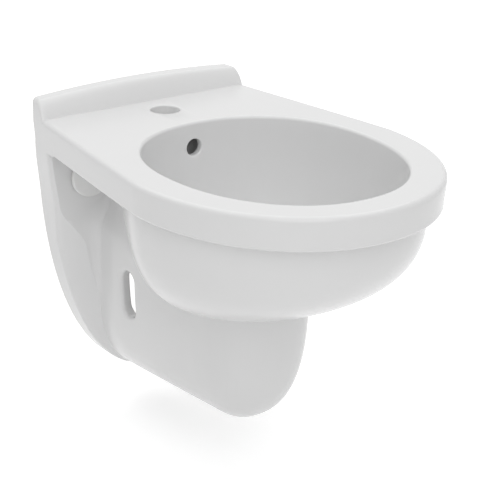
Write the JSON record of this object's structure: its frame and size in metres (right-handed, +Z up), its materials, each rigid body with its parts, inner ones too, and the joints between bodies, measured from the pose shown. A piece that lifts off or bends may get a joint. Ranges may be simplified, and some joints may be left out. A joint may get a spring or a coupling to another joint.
{
  "type": "wall-hung bidet",
  "caption": "Wall-hung ceramic bidet with a tap ledge, oval bowl, overflow, side fixing recesses with cover caps, a slotted skirt and a click-clack waste.",
  "frame": {"origin": "centre between the two wall studs, on the wall plane behind the back flange", "axes": "+X right seen from the front, +Y into the wall, +Z up"},
  "size_m": [0.355, 0.48, 0.3755],
  "materials": {
    "glazed_ceramic": "gloss white glaze",
    "cap_plastic": "white moulded",
    "white_nylon": "natural white moulded",
    "zinc_steel": "bright zinc plated",
    "spring_steel": "stainless wire",
    "chrome": "polished chrome on brass",
    "brass": "plain turned",
    "rubber": "black moulded"
  },
  "bodies": {
    "bidet": {"ceramic_body": "glazed_ceramic", "left_fixing_sleeve": "white_nylon", "right_fixing_sleeve": "white_nylon", "left_fixing_washer": "zinc_steel", "right_fixing_washer": "zinc_steel", "left_fixing_nut": "zinc_steel", "right_fixing_nut": "zinc_steel", "left_fixing_cap": "cap_plastic", "right_fixing_cap": "cap_plastic", "waste_body": "chrome", "waste_rim_seal": "rubber", "waste_gasket": "rubber", "waste_washer": "white_nylon", "waste_backnut": "brass", "cartridge_housing": "white_nylon", "cartridge_spring": "spring_steel"},
    "plug": {"cartridge_plunger": "white_nylon", "plug_cap": "chrome", "plug_seal": "rubber"}
  },
  "joints": [
    {"name": "waste_plug", "type": "slide", "parent": "bidet", "child": "plug", "axis": [0, 0, 1], "range_m": [-0.008, 0], "stiffness_N_per_m": 600, "springref_m": 0.004, "deforming": ["cartridge_spring"]}
  ]
}
